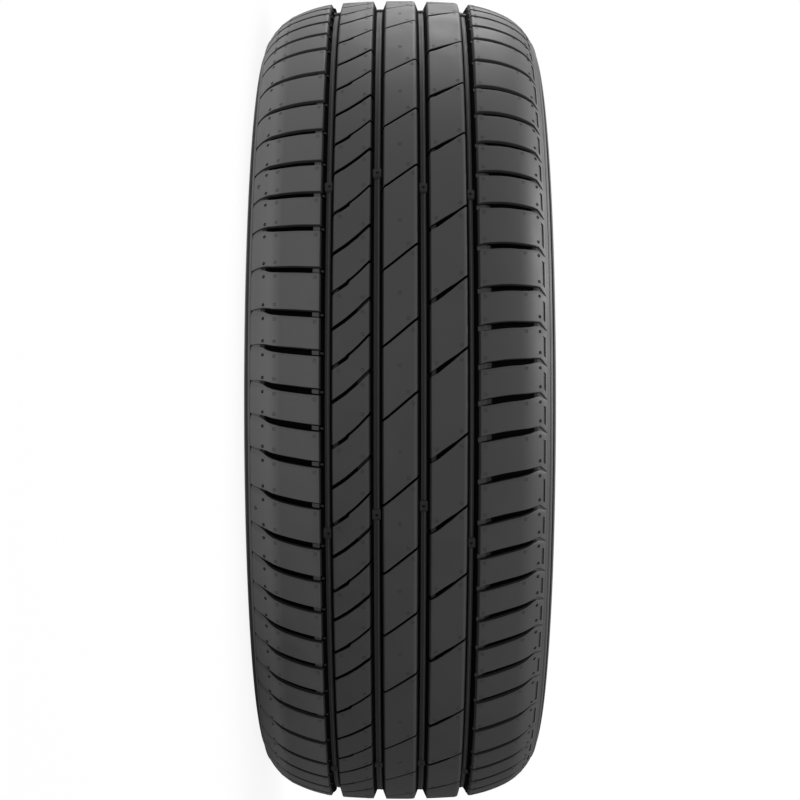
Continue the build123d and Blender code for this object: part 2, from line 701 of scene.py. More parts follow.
class NodeTree:
    """A node tree under construction, with short ways to add and link its nodes."""

    def __init__(self, tree: bpy.types.NodeTree) -> None:
        """Takes a tree up."""
        self.tree = tree

    def node(self, kind: str, **links: object) -> bpy.types.Node:
        """Adds a node.

        Args:
            kind: node type.
            links: properties in lower case, and inputs by name with underscores for spaces.

        Returns:
            The node.
        """
        made = self.tree.nodes.new(kind)
        for name, value in links.items():
            if name.islower():
                setattr(made, name, value)
        for name, value in links.items():
            if not name.islower():
                self.put(made.inputs[name.replace("_", " ")], value)
        return made

    def put(self, socket: bpy.types.NodeSocket, value: object) -> None:
        """Links a socket or sets its value.

        Args:
            socket: the input.
            value: a socket to link from, or a value.
        """
        if isinstance(value, bpy.types.NodeSocket):
            self.tree.links.new(value, socket)
        else:
            socket.default_value = value

    def fill(self, node: bpy.types.Node, *values: object) -> bpy.types.NodeSocket:
        """Links or sets a node's inputs in order.

        Args:
            node: the node.
            values: sockets or values, with None for an input that is left alone.

        Returns:
            The node's first output.
        """
        for socket, value in zip(node.inputs, values):
            if value is not None:
                self.put(socket, value)
        return node.outputs[0]

    def math(self, operation: str, *values: object) -> bpy.types.NodeSocket:
        """Adds a Math node for an operation on sockets or numbers, and gives its result."""
        return self.fill(self.node("ShaderNodeMath", operation=operation), *values)

    def split(self, vector: bpy.types.NodeSocket) -> bpy.types.bpy_prop_collection:
        """Splits a vector into its X, Y and Z."""
        return self.node("ShaderNodeSeparateXYZ", Vector=vector).outputs

    def span(self, value: bpy.types.NodeSocket, before: Pair, after: Pair) -> bpy.types.NodeSocket:
        """Maps a value from the range before to the range after."""
        return self.fill(self.node("ShaderNodeMapRange"), value, *before, *after)


class RollTree(NodeTree):
    """The Geometry Nodes tree that sets a flat piece out on points and rolls them round the axle.

    Its inputs are Geometry, Piece, Section, Tread Radius, Finish, and a finish for each skin that
    lines the tread.
    """

    def __init__(self) -> None:
        """Builds the tree."""
        super().__init__(bpy.data.node_groups.new("roll_round", "GeometryNodeTree"))
        self.tree.is_modifier = True
        self.keys: dict[str, str] = {}
        self.start = self.node("NodeGroupInput")
        points = self.take("Geometry", "NodeSocketGeometry")
        piece = self.take("Piece", "NodeSocketObject")
        section = self.take("Section", "NodeSocketObject")
        tread_radius = self.take("Tread Radius", "NodeSocketFloat")
        dressed = self.roll(self.set_out(points, piece), section, tread_radius)
        finish = self.take("Finish", "NodeSocketMaterial")
        dressed = self.node("GeometryNodeSetMaterial", Geometry=dressed, Material=finish).outputs[0]
        for skin in LINED:
            dressed = self.node(
                "GeometryNodeSetMaterial",
                Geometry=dressed,
                Selection=self.attribute(skin.value, "BOOLEAN"),
                Material=self.take(skin.value, "NodeSocketMaterial"),
            ).outputs[0]
        self.tree.interface.new_socket(
            name="Geometry", in_out="OUTPUT", socket_type="NodeSocketGeometry"
        )
        self.node("NodeGroupOutput", Geometry=dressed)

    def take(self, name: str, kind: str) -> bpy.types.NodeSocket:
        """Adds a named input to the tree.

        Args:
            name: name of the input.
            kind: socket type.

        Returns:
            The socket that gives its value inside the tree.
        """
        item = self.tree.interface.new_socket(name=name, in_out="INPUT", socket_type=kind)
        self.keys[name] = item.identifier
        return self.start.outputs[name]

    def attribute(self, name: str, kind: str = "FLOAT") -> bpy.types.NodeSocket:
        """Reads a named attribute of the given kind."""
        reader = self.node("GeometryNodeInputNamedAttribute", data_type=kind, Name=name)
        return reader.outputs["Attribute"]

    def set_out(
        self, points: bpy.types.NodeSocket, piece: bpy.types.NodeSocket
    ) -> bpy.types.NodeSocket:
        """Sets copies of the piece out on the points, flat.

        Args:
            points: the points, each with a turn.
            piece: the piece.

        Returns:
            The copies, made real.
        """
        shape = self.node("GeometryNodeObjectInfo", Object=piece)
        spin = self.node("ShaderNodeCombineXYZ", Z=self.attribute("turn"))
        placed = self.node(
            "GeometryNodeInstanceOnPoints",
            Points=points,
            Instance=shape.outputs["Geometry"],
            Rotation=spin.outputs[0],
        )
        return self.node("GeometryNodeRealizeInstances", Geometry=placed.outputs[0]).outputs[0]

    def roll(
        self,
        real: bpy.types.NodeSocket,
        section: bpy.types.NodeSocket,
        tread_radius: bpy.types.NodeSocket,
    ) -> bpy.types.NodeSocket:
        """Stretches the copies to their units' lengths and rolls them round the axle.

        Args:
            real: the copies.
            section: the section's outer line.
            tread_radius: radius that lengths round the tread are measured at.

        Returns:
            The rolled copies.
        """
        flat = self.split(self.node("GeometryNodeInputPosition").outputs[0])
        grown = self.math("MULTIPLY", self.attribute("along"), self.attribute("extra"))
        around = self.math("ADD", flat["Y"], grown)
        line = self.node("GeometryNodeObjectInfo", Object=section)
        sample = self.node(
            "GeometryNodeSampleCurve",
            mode="LENGTH",
            Curves=line.outputs["Geometry"],
            Length=self.math("ABSOLUTE", flat["X"]),
        )
        spot, lean = self.split(sample.outputs["Position"]), self.split(sample.outputs["Tangent"])
        outward = self.math("SUBTRACT", spot["X"], self.math("MULTIPLY", lean["Y"], flat["Z"]))
        radius = self.math("ADD", spot["Y"], self.math("MULTIPLY", lean["X"], flat["Z"]))
        angle = self.math("SUBTRACT", FRONT, self.math("DIVIDE", around, tread_radius))
        rolled = self.node(
            "ShaderNodeCombineXYZ",
            X=self.math("MULTIPLY", radius, self.math("COSINE", angle)),
            Y=self.math("MULTIPLY", radius, self.math("SINE", angle)),
            Z=self.math("MULTIPLY", outward, self.math("SIGN", flat["X"])),
        )
        moved = self.node("GeometryNodeSetPosition", Geometry=real, Position=rolled.outputs[0])
        return moved.outputs[0]


@dataclass(frozen=True)
class Spot:
    """Where a flat piece is set out: across, round, extra length to stretch by, and turn."""

    across: float
    around: float
    extra: float = 0.0
    turn: float = 0.0


@dataclass
class Roller:
    """Sets flat pieces out round the tyre with the rolling tree."""

    section: Section
    finishes: dict[Skin, bpy.types.Material]
    tree: RollTree = field(default_factory=RollTree)
    line: bpy.types.Object = field(init=False)

    def __post_init__(self) -> None:
        """Makes the section's outer line, which the tree samples."""
        curve = bpy.data.curves.new("section_line", "CURVE")
        points = self.section.line()
        spline = curve.splines.new("POLY")
        spline.points.add(len(points) - 1)
        for point, (place, radius) in zip(spline.points, points):
            point.co = (place * MM, radius * MM, 0.0, 1.0)
        self.line = bpy.data.objects.new("section_line", curve)
        bpy.context.scene.collection.objects.link(self.line)

    def set_out(self, name: str, flat: FlatMesh, spots: Sequence[Spot], skin: Skin) -> bpy.types.Mesh:
        """Sets a flat piece out on spots and rolls it round the axle.

        Args:
            name: name of the mesh.
            flat: the piece.
            spots: where its copies go.
            skin: finish of the copies, where nothing lines them.

        Returns:
            A plain mesh of all the copies.
        """
        piece = flat.to_object(name + "_flat")
        seeds = bpy.data.meshes.new(name + "_spots")
        seeds.from_pydata([(spot.across * MM, spot.around * MM, 0.0) for spot in spots], [], [])
        for attribute, values in (
            ("extra", [spot.extra * MM for spot in spots]),
            ("turn", [spot.turn for spot in spots]),
        ):
            seeds.attributes.new(attribute, "FLOAT", "POINT").data.foreach_set("value", values)
        holder = bpy.data.objects.new(name + "_spots", seeds)
        bpy.context.scene.collection.objects.link(holder)
        rolling = holder.modifiers.new("roll", "NODES")
        rolling.node_group = self.tree.tree
        inputs = {"Piece": piece, "Section": self.line, "Tread Radius": CROWN * MM}
        inputs |= {"Finish": self.finishes[skin]}
        inputs |= {lining.value: self.finishes[lining] for lining in LINED}
        for key, value in inputs.items():
            rolling[self.tree.keys[key]] = value
        graph = bpy.context.evaluated_depsgraph_get()
        mesh = bpy.data.meshes.new_from_object(holder.evaluated_get(graph))
        mesh.name = name
        holder.modifiers.remove(rolling)
        for thing in (holder, piece):
            bpy.data.objects.remove(thing)
        return mesh

    def clear(self) -> None:
        """Takes the section's line out of the scene."""
        bpy.data.objects.remove(self.line)


def join(name: str, meshes: Sequence[bpy.types.Mesh], smooth: float = 48.0) -> bpy.types.Object:
    """Joins meshes into one object at the origin, shaded smooth up to an angle.

    Args:
        name: name of the object.
        meshes: meshes in the row frame.
        smooth: steepest edge, in degrees, that is shaded smooth.

    Returns:
        The object.
    """
    shell = bmesh.new()
    finishes: list[bpy.types.Material] = []
    for mesh in meshes:
        numbers = []
        for finish in mesh.materials:
            if finish and finish not in finishes:
                finishes.append(finish)
            numbers.append(finishes.index(finish) if finish else 0)
        first = len(shell.faces)
        shell.from_mesh(mesh)
        shell.faces.ensure_lookup_table()
        for face in shell.faces[first:]:
            face.material_index = numbers[face.material_index]
    whole = bpy.data.meshes.new(name)
    shell.to_mesh(whole)
    shell.free()
    for finish in finishes:
        whole.materials.append(finish)
    for attribute in [item.name for item in whole.attributes if item.name in SCRATCH]:
        whole.attributes.remove(whole.attributes[attribute])
    whole.shade_smooth()
    whole.set_sharp_from_angle(angle=math.radians(smooth))
    thing = bpy.data.objects.new(name, whole)
    bpy.context.scene.collection.objects.link(thing)
    return thing


# Heights of a small moulded ring's edges, from its outer foot over its top
MARK_HEIGHTS = (-0.2, 0.1, 0.1, -0.2)

# Distance of each row's slots from the start of their unit
LOWER_SHOULDER_LEAD = 0.0
SECOND_RIB_LEAD = 42.3
MIDDLE_RIB_LEAD = 29.8
FOURTH_RIB_LEAD = 59.5
UPPER_SHOULDER_LEAD = 17.0

# Slots: place across the tyre, lead round the tread, and width of each station
LOWER_SHOULDER_SLOT = Slot((
    (-99.6, 9.5, 0.9), (-95.0, 8.8, 1.6), (-91.5, 7.7, 2.6), (-88.5, 6.35, 3.8),
    (-85.0, 5.05, 4.3), (-79.0, 3.85, 4.7), (-73.0, 2.95, 4.9), (-67.0, 2.15, 4.9),
    (-61.0, 1.35, 4.9), (-55.0, 0.8, 4.8), (-51.0, 0.4, 4.8),
))
UPPER_SHOULDER_SLOT = Slot((
    (52.0, 0.1, 3.6), (56.0, 0.9, 4.8), (62.0, 1.95, 4.9), (68.0, 3.0, 4.9), (74.0, 3.8, 4.8),
    (80.0, 4.35, 4.7), (86.0, 5.15, 4.1), (90.0, 6.1, 3.3), (93.3, 6.5, 2.8), (97.5, 3.0, 0.4),
))
EVEN_SLOT = Slot((
    (-42.0, 1.45, 2.4), (-39.0, 3.5, 2.4), (-36.0, 5.65, 2.4), (-33.0, 8.15, 2.3),
    (-30.0, 10.8, 2.3), (-27.0, 13.45, 2.3), (-24.0, 16.6, 2.2), (-21.0, 19.45, 2.2),
))
STEPPED_SLOT = Slot((
    (-42.0, 0.0, 2.4), (-39.0, 2.0, 2.4), (-36.0, 4.15, 2.4), (-34.0, 6.1, 2.45), (-33.2, 7.2, 1.5),
    (-30.0, 10.1, 1.5), (-27.0, 12.9, 1.5), (-24.0, 16.1, 1.5), (-21.0, 19.25, 1.5),
))
MIDDLE_SLOT = Slot((
    (-10.0, 1.3, 1.6), (-7.0, 3.6, 1.6), (-4.0, 6.15, 1.6), (-1.0, 8.7, 1.6),
    (2.0, 11.25, 1.6), (5.0, 13.85, 1.6), (8.0, 16.4, 1.6), (11.0, 18.9, 1.6),
))
FOURTH_SLOT = Slot((
    (22.0, 1.9, 3.0), (25.0, 3.8, 3.2), (28.0, 6.1, 3.0), (31.0, 8.4, 2.7),
    (34.0, 10.6, 2.4), (37.0, 12.9, 1.75), (40.0, 15.45, 1.5), (43.0, 17.85, 1.6),
))


@dataclass
class Tread:
    """The tread's five rows of blocks, with the bars in their slots.

    The blocks are laid out for one length of unit and stretched to the others. Each wear row has its
    place and two neighbouring bars' distances round the tread, and the other bars follow evenly.
    """

    section: Section
    units: Units
    roller: Roller
    unit: float = 56.6
    groove_wall: float = 7.2
    slot_wall: float = 7.0
    narrow_spread: float = 0.2
    narrow_middle: float = 0.5
    wear_count: int = 8
    wear_rows: tuple[Triple, ...] = (
        (-48.0, 153.2, -91.9),
        (-15.4, 163.4, -78.1),
        (15.8, 151.4, -71.9),
        (47.8, 147.0, -98.9),
    )
    wear_sign_row: Triple = (-96.5, 165.0, -79.0)

    def brow(self, spread: float, run: float = 0.5, drop: float = 0.25) -> Brow:
        """Side of a block along a groove round the tread."""
        return Brow(run, drop, self.groove_wall, spread)

    def slot_brow(self, run: float, drop: float, spread: float) -> Brow:
        """Side of a block along a slot: a narrow slot is painted in deep shade right up to its edges."""
        middle = Brow.middle if spread > self.narrow_spread else self.narrow_middle
        return Brow(run, drop, self.slot_wall, spread, middle)

    def flush(self) -> Brow:
        """End of a block that is flush with the carcass."""
        return Brow(run=0.05, drop=0.02, depth=3.0, spread=0.0)

    def row(self, name: str, block: Block, spans: Sequence[Pair], lead: float) -> bpy.types.Mesh:
        """Sets a block out along its row, on its units' starts and lengths and with their slots' lead."""
        spots = [Spot(0.0, start + lead, length - block.length) for start, length in spans]
        return self.roller.set_out(name, block.build(self.section), spots, Skin.TREAD)

    def lower_shoulder(self) -> bpy.types.Mesh:
        """Blocks of the lower shoulder, whose slots run out in a ramp.

        Returns:
            A mesh of the whole row.
        """
        block = Block(
            left=-99.9,
            right=-53.25,
            start=LOWER_SHOULDER_SLOT,
            finish=LOWER_SHOULDER_SLOT,
            length=self.unit / 2,
            left_brow=self.flush(),
            right_brow=self.brow(2.6),
            start_brow=self.slot_brow(0.3, 0.2, 1.8),
            finish_brow=self.slot_brow(1.6, 0.1, 0.6),
            bars=(Bar(-58.4, -53.5, 1.9, 2.8, skin=Skin.LINE), Bar(-52.9, -50.8, 2.9, 1.4)),
            ramp=(
                (-99.6, 4.2, 0.75),
                (-95.0, 3.6, 0.85),
                (-91.5, 2.4, 0.85),
                (-87.0, 1.7, 0.3),
                (-79.0, 1.6, 0.1),
            ),
        )
        return self.row("lower_shoulder", block, self.units.halves(), LOWER_SHOULDER_LEAD)

    def upper_shoulder(self) -> bpy.types.Mesh:
        """Blocks of the upper shoulder, each with a slit along its outer end.

        Returns:
            A mesh of the whole row.
        """
        block = Block(
            left=53.2,
            right=98.0,
            start=UPPER_SHOULDER_SLOT,
            finish=UPPER_SHOULDER_SLOT,
            length=self.unit / 2,
            left_brow=self.brow(3.5),
            right_brow=self.flush(),
            start_brow=self.slot_brow(0.3, 0.2, 1.6),
            finish_brow=self.slot_brow(1.6, 0.12, 0.6),
            bars=(Bar(51.5, 57.5, 2.6, 3.4, 7.0, Skin.EDGE),),
            ramp=(
                (74.0, 1.6, 0.12),
                (84.0, 1.8, 0.25),
                (90.0, 2.6, 0.7),
                (93.3, 3.0, 0.8),
                (97.5, 1.0, 0.25),
            ),
            slit=Slit(place=96.05, width=1.35, first=3.4, last=4.2, depth=2.2),
        )
        return self.row("upper_shoulder", block, self.units.halves(), UPPER_SHOULDER_LEAD)

    def second_rib(self) -> list[bpy.types.Mesh]:
        """Blocks of the second rib, between slots of two kinds by turns.

        Returns:
            A mesh of the blocks after each kind of slot.
        """
        meshes = []
        for name, start, finish, bar, half in (
            ("second_rib_even", EVEN_SLOT, STEPPED_SLOT, Bar(-28.3, -20.5, 4.2), 0),
            ("second_rib_stepped", STEPPED_SLOT, EVEN_SLOT, Bar(-44.0, -40.5, 2.8), 1),
        ):
            block = Block(
                left=-43.9,
                right=-20.45,
                start=start,
                finish=finish,
                length=self.unit / 2,
                left_brow=self.brow(2.9),
                right_brow=self.brow(2.75),
                start_brow=self.slot_brow(0.3, 0.2, 0.15),
                finish_brow=self.slot_brow(0.4, 0.25, 0.15),
                bars=(bar,),
            )
            meshes.append(self.row(name, block, self.units.halves()[half::2], SECOND_RIB_LEAD))
        return meshes

    def middle_rib(self) -> bpy.types.Mesh:
        """Blocks of the middle rib, with a bevel along one edge.

        Returns:
            A mesh of the whole row.
        """
        block = Block(
            left=-10.5,
            right=11.0,
            start=MIDDLE_SLOT,
            finish=MIDDLE_SLOT,
            length=self.unit,
            left_brow=self.brow(3.05),
            right_brow=self.brow(3.05, 1.6, 0.6),
            start_brow=self.slot_brow(0.3, 0.2, 0.1),
            finish_brow=self.slot_brow(0.3, 0.2, 0.1),
        )
        return self.row("middle_rib", block, self.units.spans(), MIDDLE_RIB_LEAD)

    def fourth_rib(self) -> bpy.types.Mesh:
        """Blocks of the fourth rib, with a bevel along one edge.

        Returns:
            A mesh of the whole row.
        """
        block = Block(
            left=20.8,
            right=43.9,
            start=FOURTH_SLOT,
            finish=FOURTH_SLOT,
            length=self.unit,
            left_brow=self.brow(3.15),
            right_brow=self.brow(2.7, 1.6, 0.6),
            start_brow=self.slot_brow(0.3, 0.2, 0.15),
            finish_brow=self.slot_brow(0.4, 0.25, 0.15),
            bars=(Bar(20.6, 24.0, 2.4),),
        )
        return self.row("fourth_rib", block, self.units.spans(), FOURTH_RIB_LEAD)

    def wear_spots(self, row: Triple) -> list[Spot]:
        """Places round the tread of a row of wear bars or signs.

        Args:
            row: distance across the tyre, and the first two distances round the tread.

        Returns:
            One spot for each bar or sign.
        """
        place, first, second = row
        across = self.section.reach(place)
        rest, parts = TURN - (first - second), self.wear_count - 1
        return [Spot(across, first), *(Spot(across, second - rest * part / parts) for part in range(parts))]

    def wear_bars(self) -> bpy.types.Mesh:
        """Low bars across the grooves, which show when the tread is worn, painted in shade, each with a dot
        painted in deeper shade.

        Returns:
            A mesh of all the bars.
        """
        flat = FlatMesh()
        rise = ((-4.4, -7.2), (-3.4, -5.8), (-2.8, -5.4), (2.8, -5.4), (3.4, -5.8), (4.4, -7.2))
        grid = [[(across, y, z, 0.0) for y, z in rise] for across in (-4.0, 0.0, 4.0)]
        flat.add_sheet(grid, 6.0, Skin.FLOOR)
        flat.add_ring((1.0, 0.95, 0.25, 0.2), (-5.6, -5.3, -5.3, -5.6), Skin.PAINTED_DEEP_SHADE)
        spots = [spot for row in self.wear_rows for spot in self.wear_spots(row)]
        return self.roller.set_out("wear_bars", flat, spots, Skin.LINE)

    def wear_signs(self) -> bpy.types.Mesh:
        """Small triangles on the lower shoulder, which point to the wear bars, their tops painted in deep
        shade.

        Returns:
            A mesh of all the signs.
        """
        flat = FlatMesh()
        flat.add_ring((2.1, 2.0, 1.1, 1.0), MARK_HEIGHTS, Skin.PAINTED_DEEP_SHADE, 3)
        return self.roller.set_out("wear_signs", flat, self.wear_spots(self.wear_sign_row), Skin.TREAD)

    def build(self) -> list[bpy.types.Object]:
        """Builds the tread.

        Returns:
            Its two pieces: the ribs and the shoulders.
        """
        ribs = [*self.second_rib(), self.middle_rib(), self.fourth_rib(), self.wear_bars()]
        shoulders = [self.lower_shoulder(), self.upper_shoulder(), self.wear_signs()]
        return [join("tread_ribs", ribs), join("tread_shoulders", shoulders)]


@dataclass
class Vents:
    """The small rings that the mould's air vents leave beside the slots."""

    section: Section
    units: Units
    roller: Roller

    def spots(self, rows: Sequence[tuple[list[Pair], float, Slot, tuple[Pair, ...]]]) -> list[Spot]:
        """Where the rings of some rows go.

        Args:
            rows: spans of the row, its lead, its slot, and the rings' places and distances from it.

        Returns:
            One spot for each ring.
        """
        return [
            Spot(self.section.reach(place), start + lead + slot.lead(place) + offset)
            for spans, lead, slot, marks in rows
            for start, _ in spans
            for place, offset in marks
        ]

    def build(self) -> bpy.types.Object:
        """Sets the rings out, broad ones near the outer ends of the slots and fine ones elsewhere.

        Returns:
            The piece with all the rings.
        """
        halves, spans = self.units.halves(), self.units.spans()
        lower = (halves, LOWER_SHOULDER_LEAD, LOWER_SHOULDER_SLOT)
        upper = (halves, UPPER_SHOULDER_LEAD, UPPER_SHOULDER_SLOT)
        broad = (
            (*lower, ((-91.0, 3.6), (-91.0, -6.3))),
            (*upper, ((93.0, 5.4), (93.0, -5.4))),
        )
        fine = (
            (*lower, ((-83.0, 5.1), (-83.0, -5.1), (-56.0, -5.4))),
            (*upper, ((83.5, -4.8), (56.0, -5.2), (56.0, 5.2))),
            (halves[0::2], SECOND_RIB_LEAD, EVEN_SLOT, ((-24.5, 5.0), (-24.5, -5.0))),
            (halves[1::2], SECOND_RIB_LEAD, STEPPED_SLOT, ((-24.5, 5.0), (-40.0, -5.0))),
            (spans, MIDDLE_RIB_LEAD, MIDDLE_SLOT, ((5.5, 5.0), (8.6, -5.0), (0.0, 27.0))),
            (spans, FOURTH_RIB_LEAD, FOURTH_SLOT, ((24.0, 5.5), (40.3, 5.0), (40.3, -5.0))),
        )
        meshes = []
        # The rings' tops are painted dark, a painted shadow round each vent: deep shade on the broad ones,
        # lighter shade on the fine ones
        for name, rows, inner, top in (
            ("broad_vents", broad, 0.4, Skin.PAINTED_DEEP_SHADE),
            ("fine_vents", fine, 0.85, Skin.FLOOR),
        ):
            flat = FlatMesh()
            flat.add_ring((1.25, 1.2, inner, inner - 0.05), MARK_HEIGHTS, top)
            meshes.append(self.roller.set_out(name, flat, self.spots(rows), Skin.TREAD))
        return join("vents", meshes, 30.0)


@dataclass
class SidewallBand:
    """A band of fine ridges round each sidewall.

    The band's edges are distances below the widest place, and a ridge's foot and top are shares of
    half its pitch.
    """

    section: Section
    roller: Roller
    top: float = 10.6
    bottom: float = 22.0
    count: int = 300
    end_slope: float = 0.4
    heights: Pair = (0.4, 0.75)
    sunk: float = -0.2
    foot_share: float = 0.62
    top_share: float = 0.2

    def ridge(self, side: int) -> FlatMesh:
        """Lays out one ridge, from the band's upper edge to its lower one.

        Args:
            side: 1 for the upper sidewall, -1 for the lower one.

        Returns:
            The flat mesh.
        """
        half = TURN / self.count / 2
        stops = [
            (self.top, self.sunk),
            (self.top + self.end_slope, self.heights[0]),
            (self.bottom - self.end_slope, self.heights[1]),
            (self.bottom, self.sunk),
        ]
        grid = []
        for down, height in stops[::side]:
            across = side * (self.section.widest + down)
            rows = ((-self.foot_share, self.sunk), (-self.top_share, height))
            rows += ((self.top_share, height), (self.foot_share, self.sunk))
            grid.append([(across, share * half, up, 0.0) for share, up in rows])
        flat = FlatMesh()
        flat.add_sheet(grid)
        return flat

    def build(self) -> bpy.types.Object:
        """Sets the ridges of both sides out.

        Returns:
            The piece with all the ridges.
        """
        spots = [Spot(0.0, TURN * part / self.count) for part in range(self.count)]
        meshes = [
            self.roller.set_out(f"ridges_{name}", self.ridge(side), spots, Skin.WALL)
            for name, side in (("upper", 1), ("lower", -1))
        ]
        return join("sidewall_ridges", meshes, 30.0)


@dataclass(frozen=True)
class Rim:
    """How a sidewall starts beside the tread: its first place, a raised ring, a groove and a fine one."""

    land: float
    crest: Pair
    trough: Pair
    fine: Optional[Pair] = None


@dataclass
class Carcass:
    """The body of the tyre: floor of the tread, sidewalls, beads and the hollow inside.

    The sidewall's rings are given by start and finish below the widest place, width of their slopes, and
    height, and the guard rib by the same above the flange. The rings beside the tread have the width of
    their slopes and their height. What is raised there takes the tread's finish, with its painted sheen,
    and what is sunk there the finish of painted shade.
    """

    section: Section
    finishes: dict[Skin, bpy.types.Material]
    segments: int = 360
    bead_radius: float = 202.8
    half_bead: float = 82.55
    bead_face: float = 9.0
    bead_base: float = 20.0
    toe: float = 5.0
    crown_thickness: float = 17.35
    sidewall_thickness: float = 7.5
    heel: tuple[Pair, ...] = ((93.2, 220.0), (90.6, 217.6), (86.0, 214.6))
    lower: Rim = Rim(99.95, (100.2, 101.45), (101.75, 104.1))
    upper: Rim = Rim(98.05, (100.9, 102.15), (102.45, 103.8), (99.6, 100.7))
    wall_rings: tuple[Ring, ...] = (
        (6.8, 8.4, 0.4, -0.5),
        (9.4, 10.6, 0.3, 0.3),
        (22.0, 23.2, 0.3, 0.6),
    )
    guard_rib: Ring = (11.5, 1.5, 3.2, 2.0)
    fine_shape: Pair = (0.3, -0.3)
    crest_shape: Pair = (0.7, 0.35)
    trough_shape: Pair = (0.5, -1.3)
    raised: float = 0.2
    sunk: float = -1.0
    wall_steps: int = 30
    hollow_steps: tuple[int, int] = (16, 14)
    groove_depth: float = 7.0
    groove_foot: Pair = (1.6, 6.4)
    line_halves: Pair = (0.5, 0.3)
    line_depth: float = 6.75

    def groove(self, left: float, right: float, line: float) -> list[tuple[float, float, Skin]]:
        """Floor of a groove round the tread, with a fine raised line along it. The floor is painted in
        shade, deepest by the walls, and the line is painted lighter, a painted highlight.

        Args:
            left: place of the floor's left edge.
            right: place of its right edge.
            line: place of the line.

        Returns:
            Place, depth and finish of each step.
        """
        run, foot = self.groove_foot
        wide, narrow = self.line_halves
        deep, top = self.groove_depth, self.line_depth
        return [
            (left - run, foot, Skin.PAINTED_DEEP_SHADE),
            (left, deep, Skin.FLOOR),
            (line - wide, deep, Skin.LINE),
            (line - narrow, top, Skin.LINE),
            (line + narrow, top, Skin.LINE),
            (line + wide, deep, Skin.FLOOR),
            (right, deep, Skin.PAINTED_DEEP_SHADE),
            (right + run, foot, Skin.PAINTED_DEEP_SHADE),
        ]

    def floor(self) -> list[tuple[float, float, Skin]]:
        """Floor under the blocks, from the lower shoulder to the upper one. Its deeper steps are painted in
        shade.

        Returns:
            Place, depth and finish of each step.
        """
        return [
            (-99.93, 0.0, Skin.PAINTED_DEEP_SHADE),
            (-99.85, 0.85, Skin.EDGE),
            (-97.0, 1.0, Skin.EDGE),
            (-94.0, 1.4, Skin.FLOOR),
            (-91.2, 2.1, Skin.PAINTED_DEEP_SHADE),
            (-87.5, 4.2, Skin.PAINTED_DEEP_SHADE),
            (-82.0, 5.8, Skin.PAINTED_DEEP_SHADE),
            (-60.0, 6.0, Skin.PAINTED_DEEP_SHADE),
            *self.groove(-50.2, -46.8, -48.05),
            *self.groove(-17.45, -13.55, -14.5),
            *self.groove(14.05, 17.65, 16.65),
            *self.groove(46.6, 49.4, 47.9),
            (60.0, 6.0, Skin.PAINTED_DEEP_SHADE),
            (82.0, 5.8, Skin.PAINTED_DEEP_SHADE),
            (87.0, 4.6, Skin.PAINTED_DEEP_SHADE),
            (90.6, 2.5, Skin.FLOOR),
            (92.3, 1.7, Skin.EDGE),
            (93.8, 1.1, Skin.EDGE),
            (95.5, 0.9, Skin.TREAD),
            (97.3, 0.6, Skin.PAINTED_DEEP_SHADE),
            (97.6, 0.05, Skin.WALL),
            (98.0, 0.02, Skin.WALL),
        ]

    def rings(self, rim: Rim) -> list[Ring]:
        """Rings of a sidewall.

        Args:
            rim: how the sidewall starts.

        Returns:
            Start and finish along the section's line, width of the slopes and height of each ring.
        """
        reach, widest, end = self.section.reach, self.section.widest, self.section.joins[3]
        beside = [(rim.fine, *self.fine_shape)] if rim.fine else []
        beside += [(rim.crest, *self.crest_shape), (rim.trough, *self.trough_shape)]
        found = [(reach(first), reach(last), slope, height) for (first, last), slope, height in beside]
        found += [(widest + first, widest + last, *shape) for first, last, *shape in self.wall_rings]
        first, last, *shape = self.guard_rib
        return found + [(end - first, end - last, *shape)]

    def relief(self, length: float, rim: Rim) -> float:
        """Height of a sidewall's rings over the section's line.

        Args:
            length: distance along the section's line.
            rim: how the sidewall starts.

        Returns:
            The height at that distance.
        """
        return sum(
            height * float(np.interp(length, [start, start + slope, finish - slope, finish], [0, 1, 1, 0]))
            for start, finish, slope, height in self.rings(rim)
        )

    def half_sidewall(self, rim: Rim) -> list[tuple[float, float, Skin]]:
        """Points of a sidewall, from the tread down to the bead's toe.

        Args:
            rim: how the sidewall starts.

        Returns:
            Place, radius and finish of each point, on the upper side.
        """
        start, end = self.section.reach(rim.land), self.section.joins[3]
        marks = {*np.linspace(start, end, self.wall_steps)}
        for first, last, slope, _ in self.rings(rim):
            marks |= {first, first + slope, last - slope, last}
        points = []
        for length in sorted(mark for mark in marks if start <= mark <= end):
            height = self.relief(length, rim)
            # Raised rings beside the tread take the tread's finish, with its painted sheen, and sunk ones a
            # painted shade
            beside = length < self.section.widest
            skin = Skin.TREAD if beside and height > self.raised else Skin.WALL
            skin = Skin.FLOOR if beside and height < self.sunk else skin
            points.append((*self.section.point(length, height), skin))
        outer, inner, seat = self.half_bead, self.half_bead - self.bead_base, self.bead_radius
        face = seat + self.bead_face
        bead = [*self.heel, (outer + 1.05, face), (outer, face - 2.4)]
        bead += [(outer, seat + 2.0), (outer - 0.6, seat + 0.6), (outer - 2.0, seat)]
        bead += [(inner + 2.0, seat), (inner + 0.5, seat + 0.8), (inner, seat + 2.2)]
        return points + [(*point, Skin.WALL) for point in bead]

